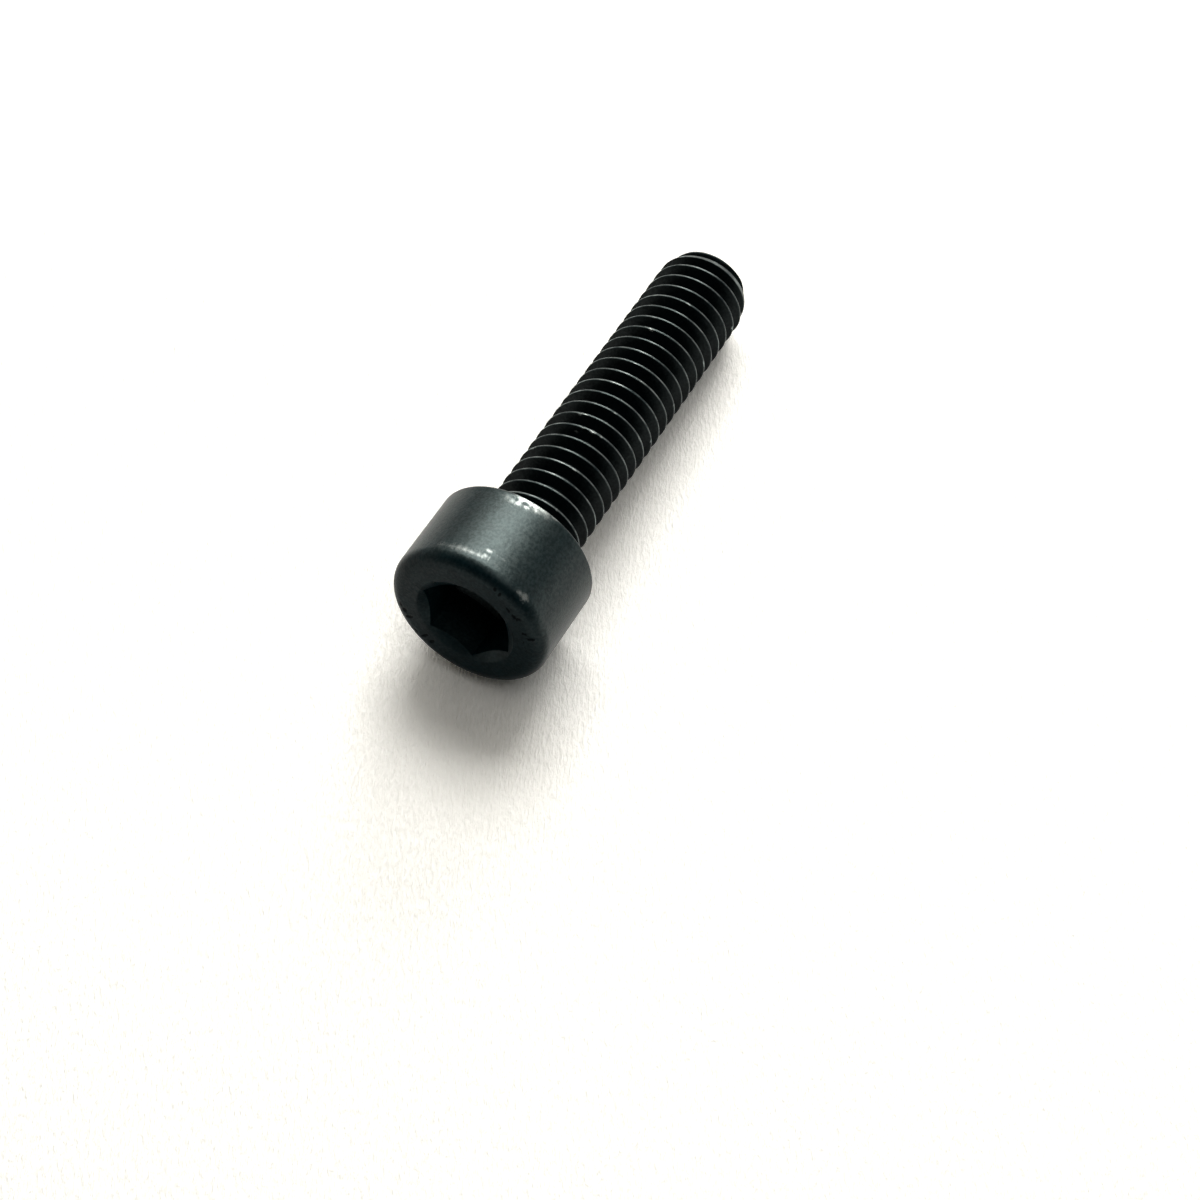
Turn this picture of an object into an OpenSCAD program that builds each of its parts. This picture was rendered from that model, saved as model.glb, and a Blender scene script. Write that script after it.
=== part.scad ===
// Brake lever clamp bolt: a fully threaded M6 socket head cap screw, lying at rest
// on its head's lower rim and the last full crest of its thread.
// It is built upright on its own axis, with the bearing plane under the head at z = 0
// and the tip at z = shank_l, and is then laid down with the tip towards +X.

/* [Head] */
// Diameter of the plain cylindrical head
head_d = 9.78; // [8.6:0.02:11]
// Height of the head above its bearing plane
head_h = 5.95; // [4.8:0.05:7]
// Radius of the large rounding round the top of the head
head_round_r = 0.85; // [0.3:0.05:1]
// Radius of the small rounding round the bearing face
head_rim_r = 0.2; // [0.1:0.05:0.4]

/* [Socket] */
// Width across the flats of the hexagon socket
socket_af = 5; // [4:0.05:5.2]
// Depth of the socket's flats below the top of the head
socket_depth = 3.1; // [2.5:0.1:3.8]
// Full angle of the cone that closes the bottom of the socket
socket_point_angle = 140; // [110:5:170]
// Diameter of the lead-in cone where it meets the top of the head
lead_in_d = 6.1; // [5.9:0.05:6.8]
// Full angle of the lead-in cone
lead_in_angle = 110; // [90:5:130]
// Turn of the hexagon about the bolt's axis, measured from straight down
socket_clock = 52; // [0:1:59]

/* [Shank] */
// Length of the bolt from the bearing plane to the tip
shank_l = 24.6; // [12:0.1:34]
// Diameter of the plain neck under the head
neck_d = 5.4; // [5:0.02:5.8]
// Length of the plain neck under the head
neck_l = 1.25; // [0.8:0.05:4]
// Radius of the fillet between the neck and the bearing face
neck_fillet_r = 0.35; // [0.2:0.05:0.6]

/* [Thread] */
// Diameter over the crests of the right-hand thread
thread_d = 5.88; // [5.4:0.02:6.4]
// Distance from one crest to the next
pitch = 1; // [0.75:0.05:1.25]
// Turn of the thread about the bolt's axis, measured from straight down
thread_clock = 26; // [0:1:359]
// Flat facets in one turn of the thread
steps_per_turn = 36; // [24:4:40]

/* [Tip] */
// Diameter of the flat end of the tip
tip_d = 5; // [4:0.05:5.3]
// Length of the cone that leads up to the flat end
tip_cone_l = 1.2; // [0.6:0.1:2]

/* [Hidden] */

round_fn = 96;
cut_clearance = 0.5;
black_oxide = [0.10, 0.11, 0.12];

head_r = head_d / 2;
neck_r = neck_d / 2;
crest_r = thread_d / 2;
tip_r = tip_d / 2;
socket_corner_r = socket_af / 2 / cos(30);
lead_in_r = lead_in_d / 2;
lead_in_l = lead_in_r / tan(lead_in_angle / 2);
socket_point_l = socket_corner_r / tan(socket_point_angle / 2);

// ISO metric profile: 60 degree flanks, an eighth of the pitch flat at the crest,
// and 17/24 of the fundamental triangle deep.
half_flank_angle = 30;
triangle_h = pitch / 2 / tan(half_flank_angle);
groove_depth = triangle_h * 17 / 24;
crest_w = pitch / 8;
flank_w = groove_depth * tan(half_flank_angle);
root_w = pitch - crest_w - 2 * flank_w;
root_r = crest_r - groove_depth;

// The swept thread starts below the neck's end and runs on past the tip. The blank then
// trims it at both ends: its crests rise out of the neck in a short cone, and its grooves
// run out in the cone that the neck ends in.
buried_turns = 1.5;
buried_r = root_r - cut_clearance;
neck_overlap = pitch / 10;
groove_start_z = neck_l + root_w / 2;
sweep_start_z = groove_start_z - buried_turns * pitch;
sweep_turns = ceil((shank_l - sweep_start_z) / pitch) + 1;
last_step = sweep_turns * steps_per_turn;

// Rest: the thread's last full crest on the underside and the head's rim both touch
// the ground, so the axis dips towards the tip by rest_tilt.
cone_start_z = shank_l - tip_cone_l;
first_crest_z = sweep_start_z + root_w / 2 + flank_w - pitch * thread_clock / 360;
crests_before_cone = floor((cone_start_z - first_crest_z) / pitch);
contact_z = min(cone_start_z, first_crest_z + crests_before_cone * pitch + crest_w);
contact_run = contact_z + head_rim_r;
contact_rise = head_r - head_rim_r - crest_r;
rest_tilt = atan2(contact_rise, contact_run) + asin(head_rim_r / norm([contact_run, contact_rise]));
axis_h = (head_r - head_rim_r) * cos(rest_tilt) - head_rim_r * sin(rest_tilt) + head_rim_r;

// Furthest reach of the laid bolt to either side of the bearing plane's centre.
reach_head = (head_h - head_round_r) * cos(rest_tilt) + (head_r - head_round_r) * sin(rest_tilt)
    + head_round_r;
reach_tip = shank_l * cos(rest_tilt) + tip_r * sin(rest_tilt);

// One pitch of the profile, as [radius, height above the groove's centre]: both edges of
// the groove's floor, then both edges of the crest that follows it.
profile = [
    [root_r, -root_w / 2],
    [root_r, root_w / 2],
    [crest_r, root_w / 2 + flank_w],
    [crest_r, root_w / 2 + flank_w + crest_w]
];

function helix_point(step, p) =
    let (turn = step / steps_per_turn)
    [p[0] * cos(360 * turn), p[0] * sin(360 * turn), sweep_start_z + pitch * turn + p[1]];

function strip(a, b, c, d) = [[a, b, c], [a, c, d]];

// Right-hand thread with its core, swept step by step as one closed solid.
module thread_sweep() {
    rows = len(profile);
    top_row = rows - 1;
    side = [for (step = [0:last_step]) for (p = profile) helix_point(step, p)];
    bottom_apex = len(side);
    top_apex = bottom_apex + 1;
    apexes = [
        [0, 0, sweep_start_z - pitch],
        [0, 0, sweep_start_z + (sweep_turns + 1) * pitch]
    ];
    function id(step, row) = rows * step + row;
    along_ridge = [
        for (step = [0:last_step - 1], row = [0:top_row - 1])
            each strip(id(step, row), id(step, row + 1), id(step + 1, row + 1), id(step + 1, row))
    ];
    turn_to_turn = [
        for (step = [0:last_step - steps_per_turn - 1])
            let (above = step + steps_per_turn)
            each strip(id(step, top_row), id(above, 0), id(above + 1, 0), id(step + 1, top_row))
    ];
    bottom_cap = concat(
        [for (step = [0:steps_per_turn - 1]) [bottom_apex, id(step, 0), id(step + 1, 0)]],
        [for (row = [0:top_row - 1]) [bottom_apex, id(0, row + 1), id(0, row)]],
        [[bottom_apex, id(steps_per_turn, 0), id(0, top_row)]]
    );
    top_cap = concat(
        [for (step = [last_step - steps_per_turn:last_step - 1])
            [top_apex, id(step + 1, top_row), id(step, top_row)]],
        [for (row = [0:top_row - 1]) [top_apex, id(last_step, row), id(last_step, row + 1)]],
        [[top_apex, id(last_step - steps_per_turn, top_row), id(last_step, 0)]]
    );
    polyhedron(
        concat(side, apexes),
        concat(along_ridge, turn_to_turn, bottom_cap, top_cap),
        convexity = 10
    );
}

// Space that the finished thread fills: it starts in a cone that rises out of the neck
// and ends in the tip's cone and flat end. It is turned by half a facet, which keeps the
// seam of its round surfaces off the edges between the thread's facets.
module thread_blank() {
    cut_r = crest_r + cut_clearance;
    cone_slope = (crest_r - tip_r) / tip_cone_l;
    cone_base_z = cone_start_z - cut_clearance / cone_slope;
    start_z = neck_l - neck_overlap - (neck_r - buried_r);
    half_facet = 180 / steps_per_turn;
    rotate([0, 0, half_facet])
        rotate_extrude($fn = round_fn)
            polygon([
                [0, start_z],
                [buried_r, start_z],
                [cut_r, start_z + cut_r - buried_r],
                [cut_r, cone_base_z],
                [tip_r, shank_l],
                [0, shank_l]
            ]);
}

module threaded_length() {
    rotate([0, 0, thread_clock])
        intersection() {
            thread_sweep();
            thread_blank();
        }
}

// Half section of the head and neck, with r across and z up, before the socket.
module head_and_neck_section() {
    round_c = [head_r - head_round_r, head_round_r - head_h];
    rim_c = [head_r - head_rim_r, -head_rim_r];
    fillet_c = [neck_r + neck_fillet_r, neck_fillet_r];
    neck_end_z = neck_l + neck_r - buried_r;
    difference() {
        union() {
            translate([0, -head_h])
                square([round_c[0], head_h]);
            translate([0, round_c[1]])
                square([rim_c[0], -round_c[1]]);
            translate([0, round_c[1]])
                square([head_r, rim_c[1] - round_c[1]]);
            intersection() {
                translate(round_c)
                    circle(head_round_r, $fn = round_fn);
                translate([round_c[0], -head_h])
                    square(head_round_r);
            }
            intersection() {
                translate(rim_c)
                    circle(head_rim_r, $fn = round_fn);
                translate(rim_c)
                    square(head_rim_r);
            }
            polygon([[0, 0], [neck_r, 0], [neck_r, neck_l], [buried_r, neck_end_z], [0, neck_end_z]]);
            square([fillet_c[0], fillet_c[1]]);
        }
        translate(fillet_c)
            circle(neck_fillet_r, $fn = round_fn);
    }
}

// Hexagon socket with its lead-in cone above and its pointed bottom below.
module socket() {
    translate([0, 0, -head_h]) {
        intersection() {
            rotate([0, 0, socket_clock])
                translate([0, 0, -cut_clearance])
                    cylinder(r = socket_corner_r, h = socket_depth + socket_point_l + cut_clearance, $fn = 6);
            rotate_extrude($fn = round_fn)
                polygon([
                    [0, -cut_clearance],
                    [socket_corner_r + cut_clearance, -cut_clearance],
                    [socket_corner_r + cut_clearance, socket_depth],
                    [socket_corner_r, socket_depth],
                    [0, socket_depth + socket_point_l]
                ]);
        }
        rotate_extrude($fn = round_fn)
            polygon([
                [0, -cut_clearance],
                [lead_in_r, -cut_clearance],
                [lead_in_r, 0],
                [0, lead_in_l]
            ]);
    }
}

module head_and_neck() {
    difference() {
        rotate_extrude($fn = round_fn)
            head_and_neck_section();
        socket();
    }
}

// Lays an upright bolt on the ground, centred over the origin.
module lay_down() {
    translate([(reach_head - reach_tip) / 2, 0, axis_h])
        rotate([0, 90 + rest_tilt, 0])
            children();
}

module clamp_bolt() {
    color(black_oxide)
        lay_down() {
            head_and_neck();
            threaded_length();
        }
}

clamp_bolt();
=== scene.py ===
import math

import bmesh
import bpy
import numpy as np
from mathutils import Matrix, Vector, noise


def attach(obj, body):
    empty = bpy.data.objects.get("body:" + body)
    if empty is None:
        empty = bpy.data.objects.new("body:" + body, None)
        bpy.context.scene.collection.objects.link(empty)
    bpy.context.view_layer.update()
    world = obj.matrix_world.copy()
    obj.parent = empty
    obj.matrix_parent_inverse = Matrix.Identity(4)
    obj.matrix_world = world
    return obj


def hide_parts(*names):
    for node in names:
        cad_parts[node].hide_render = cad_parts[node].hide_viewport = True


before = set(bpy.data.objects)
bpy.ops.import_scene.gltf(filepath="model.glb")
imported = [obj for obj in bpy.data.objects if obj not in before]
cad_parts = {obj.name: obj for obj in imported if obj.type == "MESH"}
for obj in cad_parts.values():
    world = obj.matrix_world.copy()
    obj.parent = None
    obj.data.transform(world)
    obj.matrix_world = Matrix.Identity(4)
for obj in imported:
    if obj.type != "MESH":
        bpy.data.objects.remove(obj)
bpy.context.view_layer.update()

MM = 0.001

# The bolt's own sizes, in millimetres. Its axis is z, from the head to the tip, and the
# bearing plane under the head is z = 0. Azimuth 0 points straight down once it lies.
HEAD_R = 9.78 / 2
HEAD_H = 5.95
HEAD_ROUND_R = 0.85
HEAD_RIM_R = 0.2
SOCKET_AF = 5.0
SOCKET_DEPTH = 3.1
SOCKET_POINT_ANGLE = 140.0
LEAD_IN_R = 6.1 / 2
LEAD_IN_ANGLE = 110.0
SOCKET_CLOCK = 52.0
SHANK_L = 24.6
NECK_R = 5.4 / 2
NECK_L = 1.25
NECK_OVERLAP = 0.1
NECK_FILLET_R = 0.35
CREST_R = 5.88 / 2
PITCH = 1.0
GROOVE_START = 206.0
TIP_R = 5.0 / 2
TIP_CONE_L = 1.2

# ISO metric profile, as in the part's source.
FLANK_SLOPE = 1 / math.tan(math.radians(30))
GROOVE_DEPTH = PITCH / 2 * FLANK_SLOPE * 17 / 24
CREST_W = PITCH / 8
ROOT_W = PITCH - CREST_W - 2 * GROOVE_DEPTH / FLANK_SLOPE
ROOT_R = CREST_R - GROOVE_DEPTH
FIRST_GROOVE_Z = NECK_L + ROOT_W / 2
CONE_START_Z = SHANK_L - TIP_CONE_L
CONE_SLOPE = (CREST_R - TIP_R) / TIP_CONE_L

# How finely the visible mesh follows those forms.
HEAD_COLUMNS = 336
THREAD_COLUMNS = 168
SOCKET_FLOOR_ROWS = (0.02, 0.3, 0.6, 0.85, 0.97, 1.0)
SOCKET_WALL_ROWS = (0.03, 0.2, 0.5, 0.8)
FACE_ROWS = (0.15, 0.95, 7)
BEARING_ROWS = 7
SOCKET_EDGE_ROWS = 4
HEAD_ROUND_ROWS = 15
SMALL_ROUND_ROWS = 7
TIP_END_ROWS = (0.985, 0.8, 0.45, 0.1)

# Rows on the head's side, as (from, to, how many), closer together near the bruise, then
# the neck's own rows and the height at which its columns are halved.
SIDE_ROWS = ((-4.9, -1.3, 20), (-1.2, -0.27, 10))
NECK_ROWS = (0.5, 0.75)
NECK_HALVING_Z = 0.85

# Rows of the thread's profile, as shares of the pitch from the groove's middle to the
# crest's. The helix starts at THREAD_START_Z. Rows nearer to its first or last ring than
# NEAR_START or NEAR_END take that ring's points.
PROFILE_STEPS = (0.0, 0.07, 0.13, 0.24, 0.34, 0.405, 0.43, 0.46, 0.5)
THREAD_START_Z = NECK_L - PITCH / 4
FIRST_RING_GAP = 0.01
NEAR_START = 0.015
NEAR_END = 0.005
BURIED_TURNS = 1.5
SPARE_TURNS = 3

# Roundings that tools and wear leave on edges that the source keeps sharp.
CREST_ROUND = 0.02
ROOT_ROUND = 0.09
SOCKET_EDGE_R = 0.07

# Edges turned by more than this, in degrees, are shaded sharp.
SHARP_ANGLE = 34

# Marks of use on the head, each as (azimuth, z, radius, length, width, depth, how bare),
# in degrees and millimetres: the bruise at the edge under the head, the streak on the
# top rounding, a scuff, and plain dents on the top face. How bare is below zero where
# the mark is darkened like the grooves.
BRUISE = (
    (176, -0.50, 4.89, 0.46, 0.42, 0.003, 0.52),
    (180, -0.64, 4.89, 0.34, 0.30, 0.005, 0.70),
    (184, -0.62, 4.89, 0.30, 0.20, 0.010, 1.05),
    (184, -0.30, 4.89, 0.44, 0.44, 0.006, 0.95),
    (186, -0.24, 4.89, 0.34, 0.26, 0.012, 1.35),
    (187, -0.08, 4.85, 0.50, 0.28, 0.010, 1.35),
    (190, -0.60, 4.89, 0.30, 0.16, 0.008, 1.05),
    (191, -0.20, 4.89, 0.36, 0.26, 0.012, 1.35),
    (195, -0.12, 4.86, 0.52, 0.30, 0.010, 1.4),
    (196, -0.42, 4.89, 0.42, 0.32, 0.005, 0.85),
    (201, -0.16, 4.87, 0.52, 0.26, 0.006, 1.1),
    (204, -0.36, 4.89, 0.44, 0.38, 0.003, 0.56),
    (209, -0.12, 4.86, 0.48, 0.17, 0.005, 0.68),
    (190, -0.70, 4.89, 0.95, 0.65, 0.001, 0.28),
    (188, -0.42, 4.89, 0.14, 0.11, 0.030, -0.6),
    (182, -0.42, 4.89, 0.09, 0.11, 0.010, -0.3),
)
STREAK = (
    (156, -4.90, 4.89, 0.60, 0.40, 0.002, 0.34),
    (164, -4.93, 4.89, 0.50, 0.34, 0.003, 0.46),
    (169, -4.90, 4.89, 0.46, 0.32, 0.004, 0.60),
    (173, -4.88, 4.89, 0.42, 0.28, 0.004, 0.74),
    (178, -4.88, 4.89, 0.38, 0.22, 0.005, 0.74),
    (183, -4.84, 4.89, 0.34, 0.18, 0.006, 0.84),
    (188, -4.79, 4.89, 0.17, 0.15, 0.014, 1.3),
    (187, -4.36, 4.89, 0.24, 0.10, 0.006, 0.95),
    (190, -4.20, 4.89, 0.20, 0.09, 0.006, 0.85),
    (194, -4.40, 4.89, 0.34, 0.13, 0.003, 0.52),
    (198, -4.34, 4.89, 0.28, 0.12, 0.003, 0.46),
    (197, -4.86, 4.89, 0.38, 0.11, 0.003, 0.44),
    (184, -4.60, 4.89, 0.70, 0.50, 0.001, 0.26),
)
SCUFF = (
    (219, -5.30, 4.865, 0.30, 0.20, 0.004, 0.70),
    (223, -5.29, 4.865, 0.26, 0.24, 0.006, 0.90),
    (226, -5.27, 4.87, 0.18, 0.16, 0.004, 0.62),
)
FACE_DENTS = (
    (205, -5.89, 4.35, 0.16, 0.20, 0.012, -0.5),
    (210, -5.91, 4.26, 0.12, 0.26, 0.014, -0.6),
    (224, -5.95, 3.84, 0.26, 0.12, 0.014, -0.6),
    (232, -5.95, 3.90, 0.28, 0.13, 0.018, -0.8),
    (235, -5.94, 4.05, 0.14, 0.24, 0.014, -0.6),
    (251, -5.95, 3.88, 0.13, 0.28, 0.016, -0.6),
    (256, -5.92, 4.25, 0.12, 0.34, 0.018, -0.8),
    (262, -5.95, 3.70, 0.22, 0.11, 0.012, -0.4),
    (35, -5.95, 3.70, 0.12, 0.34, 0.018, -0.8),
    (43, -5.95, 3.72, 0.11, 0.38, 0.020, -0.8),
    (50, -5.94, 4.12, 0.30, 0.12, 0.016, -0.6),
    (65, -5.95, 3.95, 0.14, 0.34, 0.020, -0.8),
    (72, -5.94, 4.06, 0.24, 0.20, 0.018, -0.7),
    (78, -5.93, 4.20, 0.32, 0.11, 0.014, -0.6),
)

# Nicks in the thread, each as (azimuth, crest, across, length, width, depth, how bare):
# crest counts from the head, and across is the way from that crest, in pitches.
CREST_NICKS = (
    (211, 1, 0.0, 0.09, 0.07, 0.020, 0.8),
    (200, 4, -0.03, 0.28, 0.07, 0.008, 0.9),
    (184, 4, -0.02, 0.16, 0.06, 0.006, 0.8),
    (171, 5, 0.04, 0.16, 0.06, 0.008, 0.8),
    (175, 7, -0.22, 0.11, 0.05, 0.020, 0.8),
    (180, 7, -0.04, 0.12, 0.08, 0.030, 0.8),
    (192, 7, -0.03, 0.18, 0.09, 0.030, 1.0),
    (203, 7, -0.02, 0.10, 0.08, 0.026, 1.0),
    (167, 8, -0.04, 0.13, 0.09, 0.030, 1.0),
    (174, 8, -0.03, 0.22, 0.06, 0.010, 0.9),
    (200, 9, -0.02, 0.20, 0.06, 0.008, 0.8),
    (243, 9, 0.02, 0.11, 0.09, 0.034, 0.8),
    (186, 13, -0.03, 0.26, 0.06, 0.008, 0.8),
    (256, 13, 0.33, 0.16, 0.05, 0.012, 0.7),
    (177, 16, -0.05, 0.14, 0.10, 0.034, 1.0),
    (171, 17, -0.04, 0.13, 0.06, 0.010, 0.8),
    (196, 19, -0.02, 0.18, 0.06, 0.008, 0.8),
    (178, 15, -0.36, 0.06, 0.05, 0.006, 0.6),
    (194, 13, -0.38, 0.06, 0.05, 0.006, 0.6),
)

# Nicks all round the rest of the thread, drawn at random from these ranges.
HIDDEN_NICKS = 46
NICK_SEED = 7
NICK_AZIMUTHS = (-100, 140)
NICK_CRESTS = (2, 23)
NICK_LENGTHS = (0.1, 0.26)
NICK_DEPTHS = (0.006, 0.03)
NICK_WIDTH = 0.08
NICK_SPREAD = 0.03
NICK_BARE = 0.9

# Wear all over, in millimetres, and the noise that varies it, in features a millimetre.
SKIN_WEAR = 0.004
SKIN_UNEVENNESS = 0.45
CREST_WEAR = 0.008
LEAST_WEAR = 0.0005
BROAD_PATCHES = 0.9
FINE_PATCHES = 2.7
SKIN_PATCHES = 3.3
RAGGED_PATCHES = 8.0
SEED_SHIFT = (17.3, 7.1, 29.9)

# How bare the crests and the head's edges are, as (on average, swing with the patches).
# The worn line along a crest fades between two shares of the crest's width, and the worn
# crests of the tip's cone fade between two depths below the cone.
CREST_BARE = (0.42, 0.45)
LEAST_CREST_BARE = 0.22
CREST_LINE = (0.15, 0.65)
TIP_BARE = 0.7
TIP_GAPS = (0.01, 0.05)
EDGE_BARE = (0.06, 0.3)
EDGE_REACH = 0.16

# The shape of a mark, in shares of its own size: a dent with a raised lip round it.
MARK_REACH = 2.2
RAGGEDNESS = 0.55
DENT_SHARPNESS = 1.6
LIP_AT = 1.25
LIP_WIDTH = 0.3
LIP_HEIGHT = 0.35
LIP_BARE_PER_MM = 25
LIP_BARE_MOST = 0.5

# Where the camera stands and looks, in millimetres and the row's own axes.
CAMERA_AT = Vector((-81.5916, -43.3394, 122.1473))
CAMERA_LOOK = Vector((0.502248, 0.264037, -0.823426))
CAMERA_RIGHT = Vector((0.465327, -0.885139, 0.0))
CAMERA_LENS = 76.886
CAMERA_SENSOR = 36
CAMERA_CLIP_START = 0.001

# Soft panels, each as (name, azimuth, elevation, width, height, level), in degrees and
# metres: a window behind the bolt as four panels, and "overhead" to the camera's right.
# The level is what a panel adds to a white floor.
LAMPS = (
    ("window_top", 17, 54, 0.33, 0.20, 0.61),
    ("skylight", -22, 60, 0.22, 0.18, 0.08),
    ("overhead", -100, 66, 0.30, 0.26, 0.15),
    ("window_foot", 12, 26, 0.22, 0.14, 0.17),
    ("window_side", 48, 28, 0.20, 0.16, 0.04),
)
LAMP_DISTANCE = 0.5
LAMP_COLOUR = (1.0, 0.98, 0.92)

# The room: white walls, a dim warm ceiling, and dark behind the camera and on one side.
# CEILING_FROM and DARK_FROM say where one fades into the next.
WALLS = (1, 1, 1, 1)
CEILING = (0.20, 0.18, 0.13, 1)
CEILING_FROM = (0.02, 0.14)
DARK = (0.03, 0.03, 0.03, 1)
DARK_SIDE = Vector((-0.1, -0.9, 0.4))
DARK_FROM = (0.35, 0.85)

# Noise on the oxide, as (features a millimetre, detail, roughness).
CLOUD = (1.6, 4.0, 0.6)
MOTTLE = (5.5, 3.0, 0.6)
GRAIN = (17.0, 2.0, 0.6)

# Black oxide from dark to light with the cloud, dust on its mottles, painted shade in the grooves,
# and bare steel. Each has the range of noise, depth or bareness over which it comes in.
OXIDE_DARK = (0.0008, 0.0058, 0.0082, 1)
OXIDE_LIGHT = (0.0018, 0.0092, 0.0122, 1)
OXIDE_FROM = (0.35, 0.65)
DUST = (0.008, 0.015, 0.019, 1)
DUST_FROM = (0.55, 0.75)
DUST_MOST = 0.35
PAINTED_SHADE = (0.0008, 0.0022, 0.0032, 1)
PAINTED_SHADE_DEPTHS = (0.01, 0.15)
STEEL = (0.45, 0.49, 0.49, 1)
METAL_FROM = (0.14, 1.1)
METAL_FRAY = 0.5

# A mark that is less than bare is darkened as if it lay this deep in a groove, in millimetres.
DARK_MARK_DEPTH = 0.3
DARK_MARK_FROM = (-0.7, -0.1)

# Gloss of the oil film, face-on and at a slant. The shares of it that are left on the top face,
# in the grooves (cut there as painted shade) and from mottle to mottle follow.
OIL_IOR = 1.4
OIL_TINT = (0.78, 0.98, 1.0, 1)
GLOSS = (0.95, 0.34)
GLOSS_FACING = (0.2, 0.45)
FACE_GLOSS = 0.22
FACE_Z = (-5.7, -5.1)
GROOVE_SHADE_GLOSS = 0.2
GROOVE_DEPTHS = (0.01, 0.12)
MOTTLE_GLOSS = (0.76, 1.26)
MOTTLE_GLOSS_FROM = (0.36, 0.64)
ROUGHNESS = (0.32, 0.40)
ROUGHNESS_FROM = (0.3, 0.7)
GRAIN_ROUGHNESS = 0.04
MOTTLE_HEIGHT = 0.6
GRAIN_HEIGHT = 0.4
OXIDE_BUMP = 0.00002

# The paper, in metres. The camera sees it lighter than it lights the bolt. The desk
# beyond it is dark.
FLOOR_HALF = 1.5
FIBRE_TURN = -0.40
FIBRE_STRETCH = (0.35, 1, 1)
FIBRES = (5200.0, 3.0, 0.6)
PAPER_BUMP = 0.00014
PAPER_THIN = (1.19, 1.19, 1.19, 1)
PAPER_THICK = (1.36, 1.36, 1.36, 1)
PAPER_FROM = (0.38, 0.62)
PAPER_UNSEEN = (0.88, 0.88, 0.87, 1)
DESK = (0.16, 0.16, 0.16, 1)
DESK_EDGE = (-0.10, -0.06)


def smooth_min(a, b, blend):
    """The lower of two heights, rounded over where they meet."""
    share = np.clip(0.5 + 0.5 * (b - a) / blend, 0, 1)
    return b + (a - b) * share - blend * share * (1 - share)


def smooth_max(a, b, blend):
    """The higher of two heights, rounded over where they meet."""
    return -smooth_min(-a, -b, blend)


def smooth_step(low, high, value):
    """Rises smoothly from 0 to 1 while the value goes from low to high."""
    share = np.clip((value - low) / (high - low), 0, 1)
    return share * share * (3 - 2 * share)


def azimuths(columns):
    """One azimuth for each column, in radians, with a column on each corner of the socket."""
    return np.radians(SOCKET_CLOCK) + np.arange(columns) * 2 * np.pi / columns


def noise_at(points, scale, seed):
    """Smooth noise from -1 to 1 at each point, with features 1 / scale wide."""
    shift = Vector([seed * step for step in SEED_SHIFT])
    return np.array([noise.noise(Vector(p) * scale + shift) for p in points])


# ---------------------------------------------------------------- the head's surface


def corner(before, at, after, radius, steps):
    """Rings that round one corner of a half section. Each point is (r, z) for each column."""
    to_before = before - at
    to_after = after - at
    to_before = to_before / np.linalg.norm(to_before, axis=0)
    to_after = to_after / np.linalg.norm(to_after, axis=0)
    half = np.arccos(np.clip((to_before * to_after).sum(axis=0), -1, 1)) / 2
    middle = to_before + to_after
    centre = at + middle / np.linalg.norm(middle, axis=0) * radius / np.sin(half)
    start = at + to_before * radius / np.tan(half) - centre
    end = at + to_after * radius / np.tan(half) - centre
    sweep = np.pi - 2 * half
    rings = []
    for share in np.linspace(0, 1, steps):
        weight = np.sin((1 - share) * sweep) * start + np.sin(share * sweep) * end
        rings.append(centre + weight / np.sin(sweep))
    return rings


def between(a, b, shares):
    """Rings on the straight way from one ring to another."""
    return [a + (b - a) * share for share in shares]


def arc_rings(centre_r, centre_z, radius, start, end, steps):
    """Rings along an arc of the half section, from one angle to another in degrees."""
    rings = []
    for angle in np.radians(np.linspace(start, end, steps)):
        ring = [centre_r + radius * math.cos(angle), centre_z + radius * math.sin(angle)]
        rings.append(np.outer(ring, np.ones(HEAD_COLUMNS)))
    return rings


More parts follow.
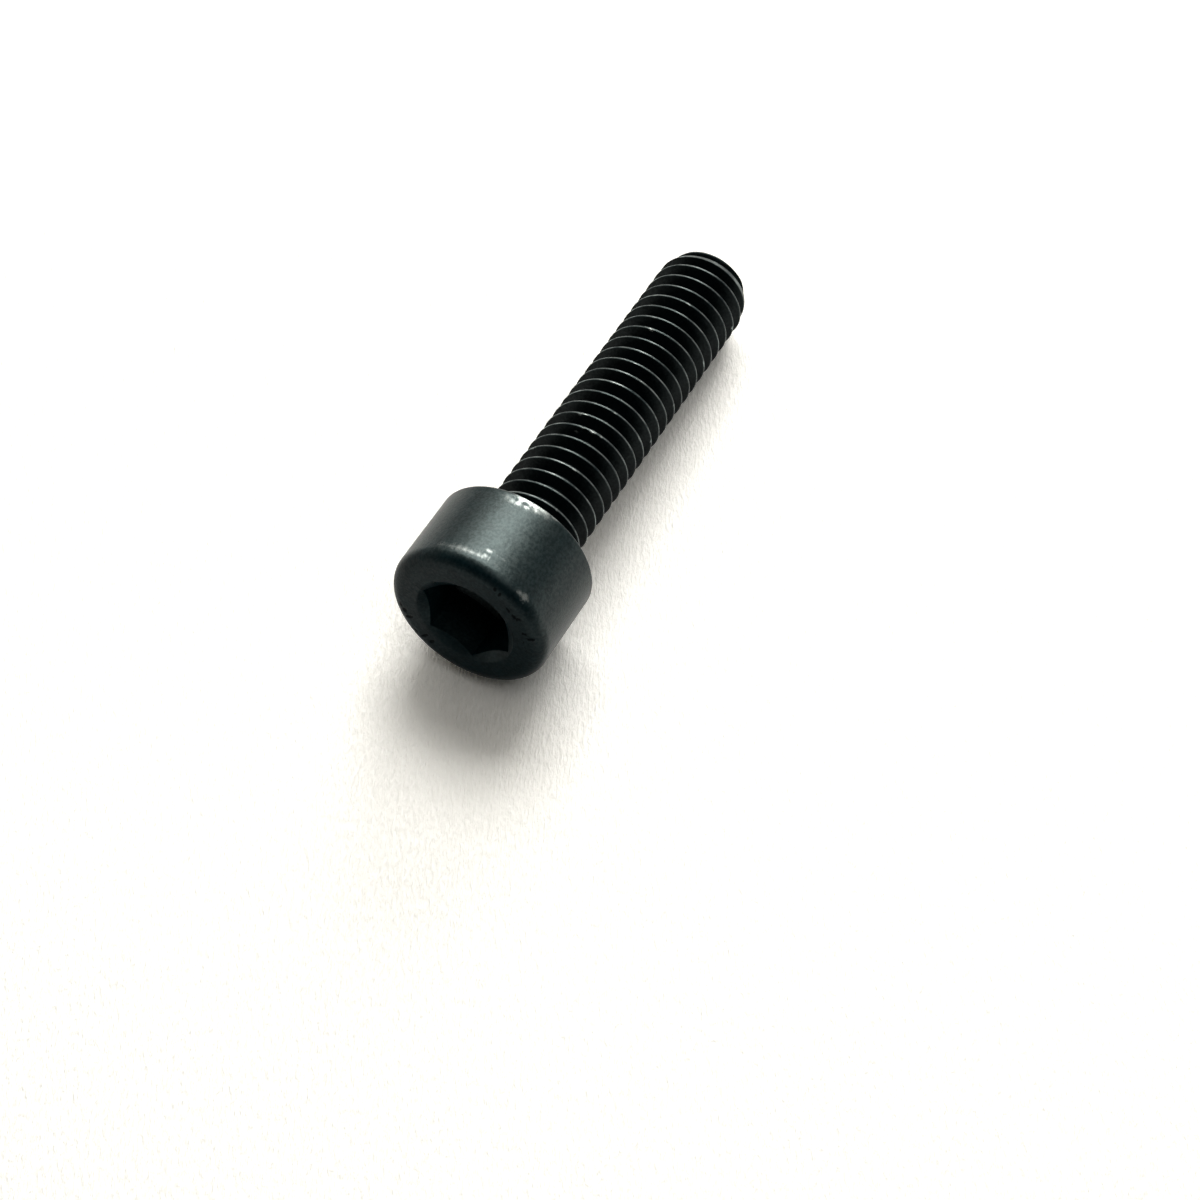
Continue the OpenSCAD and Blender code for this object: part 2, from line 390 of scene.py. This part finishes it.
def head_rings():
    """Half sections from the bottom of the socket, over the head, to the neck."""
    angle = azimuths(HEAD_COLUMNS)
    flat = np.ones(HEAD_COLUMNS)
    corner_r = SOCKET_AF / 2 / math.cos(math.radians(30))
    from_flat = (angle - np.radians(SOCKET_CLOCK)) % (np.pi / 3) - np.pi / 6
    hex_r = SOCKET_AF / 2 / np.cos(from_flat)

    point_slope = 1 / math.tan(math.radians(SOCKET_POINT_ANGLE / 2))
    lead_slope = 1 / math.tan(math.radians(LEAD_IN_ANGLE / 2))
    apex = np.array([0 * flat, (SOCKET_DEPTH - HEAD_H + corner_r * point_slope) * flat])
    wall_foot = np.array([hex_r, SOCKET_DEPTH - HEAD_H + (corner_r - hex_r) * point_slope])
    wall_top = np.array([hex_r, (LEAD_IN_R - hex_r) * lead_slope - HEAD_H])
    lead_edge = np.array([LEAD_IN_R * flat, -HEAD_H * flat])
    round_start = np.array([(HEAD_R - HEAD_ROUND_R) * flat, -HEAD_H * flat])

    rings = between(apex, wall_foot, SOCKET_FLOOR_ROWS)
    rings += between(wall_foot, wall_top, SOCKET_WALL_ROWS)
    rings += corner(wall_foot, wall_top, lead_edge, SOCKET_EDGE_R / 3, SOCKET_EDGE_ROWS)
    rings += between(wall_top, lead_edge, (0.5,))
    rings += corner(wall_top, lead_edge, round_start, SOCKET_EDGE_R, SOCKET_EDGE_ROWS)
    rings += between(lead_edge, round_start, np.linspace(*FACE_ROWS))
    round_r = HEAD_R - HEAD_ROUND_R
    rings += arc_rings(round_r, HEAD_ROUND_R - HEAD_H, HEAD_ROUND_R, -90, 0, HEAD_ROUND_ROWS)
    for rows in SIDE_ROWS:
        rings += [np.array([HEAD_R * flat, z * flat]) for z in np.linspace(*rows)]
    rim_r = HEAD_R - HEAD_RIM_R
    rings += arc_rings(rim_r, -HEAD_RIM_R, HEAD_RIM_R, 0, 90, SMALL_ROUND_ROWS)
    fillet_r = NECK_R + NECK_FILLET_R
    bearing_r = np.linspace(rim_r, fillet_r, BEARING_ROWS)[1:-1]
    rings += [np.array([r * flat, 0 * flat]) for r in bearing_r]
    rings += arc_rings(fillet_r, NECK_FILLET_R, NECK_FILLET_R, -90, -180, SMALL_ROUND_ROWS)
    rings += [np.array([NECK_R * flat, z * flat]) for z in NECK_ROWS]
    return rings


# ---------------------------------------------------------------- the thread's surface


def crest_envelope(z):
    """Radius over the crests: plain, then the tip's cone."""
    return np.minimum(CREST_R, CREST_R - (z - CONE_START_Z) * CONE_SLOPE)


def thread_radius(z, angle):
    """Radius of the right-hand thread at a height and an azimuth, with both its ends."""
    turn = (np.degrees(angle) - GROOVE_START) / 360
    along = (z - FIRST_GROOVE_Z) / PITCH - turn
    off_centre = np.abs(along - np.round(along)) * PITCH
    flank = ROOT_R + (off_centre - ROOT_W / 2) * FLANK_SLOPE
    radius = smooth_min(CREST_R, smooth_max(ROOT_R, flank, ROOT_ROUND), CREST_ROUND)
    rise_from_neck = NECK_R + z - (NECK_L - NECK_OVERLAP)
    radius = smooth_min(np.minimum(crest_envelope(z), rise_from_neck), radius, CREST_ROUND)
    neck = np.minimum(NECK_R, NECK_R - (z - NECK_L))
    radius = smooth_max(neck, radius, CREST_ROUND)
    return np.where(z > NECK_L - 2 * NECK_OVERLAP, radius, NECK_R)


def thread_heights():
    """How many rows one turn has, and the height of every row of the helix at column 0."""
    steps = sorted(set(PROFILE_STEPS) | {-s for s in PROFILE_STEPS[1:-1]})
    turns = math.ceil((SHANK_L - NECK_L) / PITCH) + SPARE_TURNS
    first = FIRST_GROOVE_Z - BURIED_TURNS * PITCH
    return len(steps), np.array([first + (t + s) * PITCH for t in range(turns) for s in steps])


def bolt_mesh():
    """Points in the bolt's own space, and the faces between them."""
    points, faces = [], []

    def add(r, z, angle):
        start = len(points)
        x, y = r * np.cos(angle), r * np.sin(angle)
        points.extend(zip(x, y, np.broadcast_to(z, x.shape)))
        return list(range(start, len(points)))

    def join(lower, upper):
        for j in range(len(lower)):
            k = (j + 1) % len(lower)
            faces.append((lower[j], lower[k], upper[k], upper[j]))

    def close(centre, ring, outward):
        for j in range(len(ring)):
            k = (j + 1) % len(ring)
            faces.append((centre, ring[k], ring[j]) if outward else (centre, ring[j], ring[k]))

    head_angle = azimuths(HEAD_COLUMNS)
    rings = head_rings()
    apex_z = rings[0][1][0]
    points.append((0.0, 0.0, apex_z))
    lower = add(rings[0][0], rings[0][1], head_angle)
    close(0, lower, True)
    for r, z in rings[1:]:
        upper = add(r, z, head_angle)
        join(upper, lower)
        lower = upper

    # The neck halves the number of columns.
    angle = azimuths(THREAD_COLUMNS)
    neck = add(np.full(THREAD_COLUMNS, NECK_R), NECK_HALVING_Z, angle)
    for j in range(THREAD_COLUMNS):
        k = (j + 1) % THREAD_COLUMNS
        a, b, c = lower[2 * j], lower[2 * j + 1], lower[(2 * j + 2) % HEAD_COLUMNS]
        faces.extend([(neck[j], b, a), (neck[j], neck[k], b), (neck[k], c, b)])

    start = add(np.full(THREAD_COLUMNS, NECK_R), THREAD_START_Z, angle)
    join(start, neck)

    # Rows that climb with the helix, held to the neck at one end and the tip at the other.
    rows_per_turn, heights = thread_heights()
    first_z = THREAD_START_Z + FIRST_RING_GAP
    first = add(thread_radius(np.full(THREAD_COLUMNS, first_z), angle), first_z, angle)
    join(first, start)
    r_last = thread_radius(np.full(THREAD_COLUMNS, SHANK_L), angle)
    last = add(r_last, SHANK_L, angle)
    climb = PITCH * np.arange(THREAD_COLUMNS) / THREAD_COLUMNS
    grid = []
    for height in heights:
        z = height + climb
        r = thread_radius(z, angle)
        row = []
        for j in range(THREAD_COLUMNS):
            if z[j] <= THREAD_START_Z + NEAR_START:
                row.append(first[j])
            elif z[j] >= SHANK_L - NEAR_END:
                row.append(last[j])
            else:
                row.append(len(points))
                points.append((r[j] * math.cos(angle[j]), r[j] * math.sin(angle[j]), z[j]))
        grid.append(row)
    for i in range(len(grid) - rows_per_turn - 1):
        for j in range(THREAD_COLUMNS):
            if j + 1 < THREAD_COLUMNS:
                quad = (grid[i + 1][j], grid[i + 1][j + 1], grid[i][j + 1], grid[i][j])
            else:
                above = grid[i + rows_per_turn][0], grid[i + rows_per_turn + 1][0]
                quad = (grid[i + 1][j], above[1], above[0], grid[i][j])
            quad = tuple(dict.fromkeys(quad))
            if len(quad) > 2:
                faces.append(quad)

    # The flat end of the tip.
    lower = last
    for share in TIP_END_ROWS:
        upper = add(r_last * share, SHANK_L, angle)
        join(upper, lower)
        lower = upper
    points.append((0.0, 0.0, SHANK_L))
    close(len(points) - 1, lower, False)
    return np.array(points), faces


# ---------------------------------------------------------------- laying the bolt down


def lay_down(points):
    """Turns and moves points from the bolt's own space to where the CAD part lies."""
    first_crest_z = FIRST_GROOVE_Z + (PITCH - CREST_W) / 2 - PITCH * GROOVE_START / 360
    crests = math.floor((CONE_START_Z - first_crest_z) / PITCH)
    contact_z = min(CONE_START_Z, first_crest_z + crests * PITCH + CREST_W)
    run, rise = contact_z + HEAD_RIM_R, HEAD_R - HEAD_RIM_R - CREST_R
    tilt = math.atan2(rise, run) + math.asin(HEAD_RIM_R / math.hypot(run, rise))
    low_r = HEAD_R - HEAD_RIM_R
    axis_h = low_r * math.cos(tilt) - HEAD_RIM_R * math.sin(tilt) + HEAD_RIM_R
    reach_head = (HEAD_H - HEAD_ROUND_R) * math.cos(tilt) + HEAD_ROUND_R
    reach_head += (HEAD_R - HEAD_ROUND_R) * math.sin(tilt)
    reach_tip = SHANK_L * math.cos(tilt) + TIP_R * math.sin(tilt)
    turn = Matrix.Rotation(math.pi / 2 + tilt, 3, "Y")
    place = np.array([(reach_head - reach_tip) / 2, 0, axis_h])
    return (points @ np.array(turn).T + place) * MM


# ---------------------------------------------------------------- wear


def polar(azimuth, z, radius):
    """The point at an azimuth in degrees, a height and a radius."""
    angle = math.radians(azimuth)
    return np.array([radius * math.cos(angle), radius * math.sin(angle), z])


def crest_z(crest, azimuth):
    """Height of a crest's middle, with crest 1 the first above the neck."""
    return FIRST_GROOVE_Z + PITCH * (crest - 0.5 + (azimuth - GROOVE_START) / 360)


def thread_nicks():
    """The nicks that show from the front, and as many more all round the thread."""
    rng = np.random.default_rng(NICK_SEED)
    nicks = list(CREST_NICKS)
    for _ in range(HIDDEN_NICKS):
        azimuth = rng.uniform(*NICK_AZIMUTHS)
        crest = rng.integers(*NICK_CRESTS)
        length = rng.uniform(*NICK_LENGTHS)
        depth = rng.uniform(*NICK_DEPTHS)
        across = rng.normal(0, NICK_SPREAD)
        nicks.append((azimuth, crest, across, length, NICK_WIDTH, depth, NICK_BARE))
    for azimuth, crest, across, length, width, depth, how_bare in nicks:
        z = crest_z(crest, azimuth) + across * PITCH
        radius = CREST_R - max(0, abs(across) * PITCH - CREST_W / 2) * FLANK_SLOPE
        yield polar(azimuth, z, radius), length, width, depth, how_bare


def head_marks():
    """The bruise, the streak, the scuff and the dents on the face."""
    marks = BRUISE + STREAK + SCUFF + FACE_DENTS
    for azimuth, z, radius, length, width, depth, how_bare in marks:
        yield polar(azimuth, z, radius), length, width, depth, how_bare


def wear(points, normals):
    """Dents and abrades the points along their normals. Also says how bare each one is."""
    patches = noise_at(points, BROAD_PATCHES, 1) * 0.5 + noise_at(points, FINE_PATCHES, 2) * 0.5
    crest = crest_line(points)
    bare = crest * np.clip(CREST_BARE[0] + CREST_BARE[1] * patches, LEAST_CREST_BARE, 1)
    sunk = SKIN_WEAR * (1 + SKIN_UNEVENNESS * noise_at(points, SKIN_PATCHES, 3))
    sunk = sunk + crest * CREST_WEAR * np.clip(patches, 0, 1)

    top_edge = round_edge(points, -HEAD_H + HEAD_ROUND_R)
    edge = np.maximum(top_edge, round_edge(points, -HEAD_RIM_R))
    bare = np.maximum(bare, edge * np.clip(EDGE_BARE[0] + EDGE_BARE[1] * patches, 0, 1))
    ragged = 1 + RAGGEDNESS * noise_at(points, RAGGED_PATCHES, 4)
    for centre, length, width, depth, how_bare in list(head_marks()) + list(thread_nicks()):
        around = np.array([-centre[1], centre[0], 0]) / np.hypot(centre[0], centre[1])
        offset = points - centre
        along = offset @ around
        beside = (offset ** 2).sum(axis=1) - along ** 2
        away = np.sqrt((along / length) ** 2 + beside / width ** 2)
        close = away < MARK_REACH
        dent = np.exp(-(away[close] * ragged[close]) ** 2 * DENT_SHARPNESS)
        lip = np.exp(-((away[close] - LIP_AT) / LIP_WIDTH) ** 2)
        sunk[close] += depth * (dent - LIP_HEIGHT * lip)
        if how_bare > 0:
            lip_bare = min(depth * LIP_BARE_PER_MM, LIP_BARE_MOST)
            rubbed = np.clip(dent + lip * lip_bare, 0, 1)
            bare[close] = np.maximum(bare[close], how_bare * rubbed)
        else:
            bare[close] += (how_bare - bare[close]) * dent
    sunk = np.maximum(sunk, LEAST_WEAR)
    return points - normals * sunk[:, None], bare


def crest_gap(points):
    """How far each point lies below the crests' envelope."""
    radius = np.hypot(points[:, 0], points[:, 1])
    return crest_envelope(points[:, 2]) - radius


def crest_line(points):
    """One along the middle of the thread's crests, and nothing beside it."""
    turn = (np.degrees(np.arctan2(points[:, 1], points[:, 0])) - GROOVE_START) / 360
    along = (points[:, 2] - FIRST_GROOVE_Z) / PITCH - turn
    from_crest = (0.5 - np.abs(along - np.round(along))) * PITCH
    gap = crest_gap(points)
    line = 1 - smooth_step(CREST_W * CREST_LINE[0], CREST_W * CREST_LINE[1], from_crest)
    line = np.where(gap < GROOVE_DEPTH / 4, line, 0) * (points[:, 2] > NECK_L)
    tip = smooth_step(CONE_START_Z, CONE_START_Z + CREST_W, points[:, 2])
    return np.maximum(line, TIP_BARE * tip * (1 - smooth_step(*TIP_GAPS, gap)))


def shade_depth(points):
    """How deep each point lies in the thread, which sets the painted shade and lesser gloss there."""
    off_line = CREST_W / 2 * (1 - crest_line(points))
    return np.where(points[:, 2] > 0, crest_gap(points) + off_line, 0)


def round_edge(points, z):
    """One along the head's edge at a height, and nothing away from it."""
    radius = np.hypot(points[:, 0], points[:, 1])
    away = np.hypot(points[:, 2] - z, radius - HEAD_R)
    return np.exp(-(away / EDGE_REACH) ** 2)


def store(mesh, name, kind, values):
    """Keeps a value for each point on the mesh, for the material to read."""
    layer = mesh.attributes.new(name, kind, "POINT")
    key = "vector" if kind == "FLOAT_VECTOR" else "value"
    layer.data.foreach_set(key, np.asarray(values, dtype=np.float32).ravel())


def make_bolt():
    """The bolt: modelled upright, worn along its normals, and then laid down."""
    points, faces = bolt_mesh()
    mesh = bpy.data.meshes.new("clamp_bolt_steel")
    mesh.from_pydata(points.tolist(), [], faces)
    shell = bmesh.new()
    shell.from_mesh(mesh)
    bmesh.ops.recalc_face_normals(shell, faces=shell.faces)
    shell.to_mesh(mesh)
    shell.free()
    normals = np.empty(len(points) * 3, dtype=np.float32)
    mesh.vertex_normals.foreach_get("vector", normals)
    worn, bare = wear(points, normals.reshape(-1, 3))
    mesh.vertices.foreach_set("co", lay_down(worn).astype(np.float32).ravel())
    mesh.update()
    store(mesh, "bolt_mm", "FLOAT_VECTOR", points)
    store(mesh, "bare", "FLOAT", bare)
    store(mesh, "below_crest", "FLOAT", shade_depth(points))
    mesh.shade_smooth()
    mesh.set_sharp_from_angle(angle=math.radians(SHARP_ANGLE))
    piece = bpy.data.objects.new("clamp_bolt_steel", mesh)
    bpy.context.scene.collection.objects.link(piece)
    mesh.materials.append(black_oxide())
    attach(piece, "root")
    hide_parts("clamp_bolt")


# ---------------------------------------------------------------- materials


def node(tree, kind, inputs=None, **settings):
    """Adds a node. An input is a plain value or the output of another node."""
    made = tree.nodes.new("ShaderNode" + kind)
    for name, value in settings.items():
        setattr(made, name, value)
    for name, value in (inputs or {}).items():
        if isinstance(value, bpy.types.NodeSocket):
            tree.links.new(value, made.inputs[name])
        else:
            made.inputs[name].default_value = value
    return made


def noise_field(tree, vector, scale, detail, roughness):
    inputs = {"Vector": vector, "Scale": scale, "Detail": detail, "Roughness": roughness}
    return node(tree, "TexNoise", inputs).outputs["Fac"]


def remap(tree, value, low, high, to_low=0.0, to_high=1.0):
    """Takes a value from one range to another with a smooth step, and clamps it there."""
    made = node(tree, "MapRange", {"Value": value}, interpolation_type="SMOOTHSTEP")
    made.inputs["From Min"].default_value = low
    made.inputs["From Max"].default_value = high
    made.inputs["To Min"].default_value = to_low
    made.inputs["To Max"].default_value = to_high
    return made.outputs["Result"]


def maths(tree, operation, a, b):
    made = node(tree, "Math", {0: a, 1: b}, operation=operation)
    return made.outputs["Value"]


def blend(tree, factor, a, b):
    made = node(tree, "Mix", {0: factor, 6: a, 7: b}, data_type="RGBA")
    return made.outputs[2]


def new_material(name):
    material = bpy.data.materials.new(name)
    material.use_nodes = True
    tree = material.node_tree
    return material, tree, tree.nodes["Principled BSDF"], tree.nodes["Material Output"]


def black_oxide():
    """Oily black oxide on steel, worn to bright metal where the bare mask is high, with painted shade
    in the grooves.
    """
    material, tree, shader, _ = new_material("black_oxide_steel")
    place = node(tree, "Attribute", attribute_name="bolt_mm").outputs["Vector"]
    bare = node(tree, "Attribute", attribute_name="bare").outputs["Fac"]
    depth = node(tree, "Attribute", attribute_name="below_crest").outputs["Fac"]

    # Marks less than bare take the grooves' painted shade and lesser gloss.
    mark_darkening = remap(tree, bare, *DARK_MARK_FROM, DARK_MARK_DEPTH, 0.0)
    depth = maths(tree, "MAXIMUM", depth, mark_darkening)
    cloud = noise_field(tree, place, *CLOUD)
    mottle = noise_field(tree, place, *MOTTLE)
    grain = noise_field(tree, place, *GRAIN)
    fray = maths(tree, "MULTIPLY", maths(tree, "SUBTRACT", grain, 0.5), METAL_FRAY)
    metal = remap(tree, maths(tree, "ADD", bare, fray), *METAL_FROM)

    oxide = blend(tree, remap(tree, cloud, *OXIDE_FROM), OXIDE_DARK, OXIDE_LIGHT)
    dusty = blend(tree, remap(tree, mottle, *DUST_FROM, 0.0, DUST_MOST), oxide, DUST)
    # Painted shade: the base colour darkens with depth in the grooves and in the darkened marks.
    shaded_base = blend(tree, remap(tree, depth, *PAINTED_SHADE_DEPTHS), dusty, PAINTED_SHADE)
    tree.links.new(blend(tree, metal, shaded_base, STEEL), shader.inputs["Base Color"])
    tree.links.new(metal, shader.inputs["Metallic"])

    # The gloss of the oil film falls off sooner than clean glass would, and the film is thinner on
    # the top face. In the grooves the gloss is cut as painted shade.
    facing = node(tree, "LayerWeight", {"Blend": 0.5}).outputs["Facing"]
    along = node(tree, "SeparateXYZ", {"Vector": place}).outputs["Z"]
    gloss = remap(tree, facing, *GLOSS_FACING, *GLOSS)
    gloss = maths(tree, "MULTIPLY", gloss, remap(tree, along, *FACE_Z, FACE_GLOSS, 1.0))
    gloss = maths(tree, "MULTIPLY", gloss, remap(tree, depth, *GROOVE_DEPTHS, 1.0, GROOVE_SHADE_GLOSS))
    gloss = maths(tree, "MULTIPLY", gloss, remap(tree, mottle, *MOTTLE_GLOSS_FROM, *MOTTLE_GLOSS))
    tree.links.new(gloss, shader.inputs["Specular IOR Level"])
    rough = remap(tree, mottle, *ROUGHNESS_FROM, *ROUGHNESS)
    rough = maths(tree, "ADD", rough, maths(tree, "MULTIPLY", grain, GRAIN_ROUGHNESS))
    tree.links.new(rough, shader.inputs["Roughness"])
    shader.inputs["IOR"].default_value = OIL_IOR
    shader.inputs["Specular Tint"].default_value = OIL_TINT

    coarse = maths(tree, "MULTIPLY", mottle, MOTTLE_HEIGHT)
    height = maths(tree, "ADD", coarse, maths(tree, "MULTIPLY", grain, GRAIN_HEIGHT))
    bump = node(tree, "Bump", {"Height": height, "Strength": 1.0, "Distance": OXIDE_BUMP})
    tree.links.new(bump.outputs["Normal"], shader.inputs["Normal"])
    return material


def paper():
    """White paper with faint fibres, on a dark desk that starts well outside the picture.
    The camera and reflections see the paper a little lighter."""
    material, tree, shader, output = new_material("paper")
    place = node(tree, "TexCoord").outputs["Object"]
    turned = node(tree, "VectorRotate", {"Vector": place, "Angle": FIBRE_TURN}, rotation_type="Z_AXIS")
    drawn = node(tree, "Mapping", {"Vector": turned.outputs["Vector"], "Scale": FIBRE_STRETCH})
    fibres = noise_field(tree, drawn.outputs["Vector"], *FIBRES)
    bump = node(tree, "Bump", {"Height": fibres, "Strength": 1.0, "Distance": PAPER_BUMP})

    rays = node(tree, "LightPath").outputs
    seen = maths(tree, "MAXIMUM", rays["Is Camera Ray"], rays["Is Glossy Ray"])
    seen = maths(tree, "MAXIMUM", seen, rays["Is Transmission Ray"])
    thick = remap(tree, fibres, *PAPER_FROM)
    lit = blend(tree, thick, PAPER_THIN, PAPER_THICK)
    colour = blend(tree, seen, PAPER_UNSEEN, lit)
    across = node(tree, "SeparateXYZ", {"Vector": place}).outputs["Y"]
    colour = blend(tree, remap(tree, across, *DESK_EDGE), DESK, colour)
    sheet = node(tree, "BsdfDiffuse", {"Color": colour, "Normal": bump.outputs["Normal"]})
    tree.nodes.remove(shader)
    tree.links.new(sheet.outputs["BSDF"], output.inputs["Surface"])
    return material


# ---------------------------------------------------------------- stage, light and camera


def make_floor():
    """The sheet that the bolt lies on."""
    half = FLOOR_HALF
    mesh = bpy.data.meshes.new("paper_floor")
    corners = [(-half, -half, 0), (half, -half, 0), (half, half, 0), (-half, half, 0)]
    mesh.from_pydata(corners, [], [(0, 1, 2, 3)])
    floor = bpy.data.objects.new("paper_floor", mesh)
    bpy.context.scene.collection.objects.link(floor)
    mesh.materials.append(paper())


def make_world():
    """A pale room: white at the horizon, with a dim warm ceiling and a dark near side."""
    world = bpy.data.worlds.new("studio")
    bpy.context.scene.world = world
    world.use_nodes = True
    tree = world.node_tree
    background = tree.nodes["Background"]
    way = node(tree, "TexCoord").outputs["Generated"]
    height = node(tree, "SeparateXYZ", {"Vector": way}).outputs["Z"]
    near = node(tree, "VectorMath", {0: way, 1: -CAMERA_LOOK}, operation="DOT_PRODUCT")
    side = node(tree, "VectorMath", {0: way, 1: DARK_SIDE}, operation="DOT_PRODUCT")
    facing = maths(tree, "MAXIMUM", near.outputs["Value"], side.outputs["Value"])
    room = blend(tree, remap(tree, height, *CEILING_FROM), WALLS, CEILING)
    room = blend(tree, remap(tree, facing, *DARK_FROM), room, DARK)
    tree.links.new(room, background.inputs["Color"])


def direction(azimuth, elevation):
    """The way to a point on the sky, from its azimuth and elevation in degrees."""
    a, e = math.radians(azimuth), math.radians(elevation)
    return Vector((math.cos(a) * math.cos(e), math.sin(a) * math.cos(e), math.sin(e)))


def make_lamp(name, azimuth, elevation, width, height, level):
    """A soft panel that faces the bolt. Level is what it adds to a white floor."""
    data = bpy.data.lights.new(name, "AREA")
    data.shape = "RECTANGLE"
    data.size, data.size_y = width, height
    data.color = LAMP_COLOUR
    data.energy = level * math.pi ** 2 * LAMP_DISTANCE ** 2 / math.sin(math.radians(elevation))
    lamp = bpy.data.objects.new(name, data)
    bpy.context.scene.collection.objects.link(lamp)
    way = direction(azimuth, elevation)
    turn = way.to_track_quat("Z", "Y").to_matrix().to_4x4()
    lamp.matrix_world = Matrix.Translation(way * LAMP_DISTANCE) @ turn
    lamp.visible_camera = False


def make_camera():
    """The photo's camera, as fitted to the bolt's outline and crest lines."""
    data = bpy.data.cameras.new("camera")
    data.lens = CAMERA_LENS
    data.sensor_width = CAMERA_SENSOR
    data.clip_start = CAMERA_CLIP_START
    camera = bpy.data.objects.new("camera", data)
    bpy.context.scene.collection.objects.link(camera)
    up = CAMERA_RIGHT.cross(CAMERA_LOOK)
    turn = Matrix((CAMERA_RIGHT, up, -CAMERA_LOOK)).transposed()
    camera.matrix_world = Matrix.Translation(CAMERA_AT * MM) @ turn.to_4x4()
    bpy.context.scene.camera = camera


make_camera()
make_world()
for lamp_values in LAMPS:
    make_lamp(*lamp_values)
make_floor()
make_bolt()
bpy.context.scene.view_settings.view_transform = "Standard"
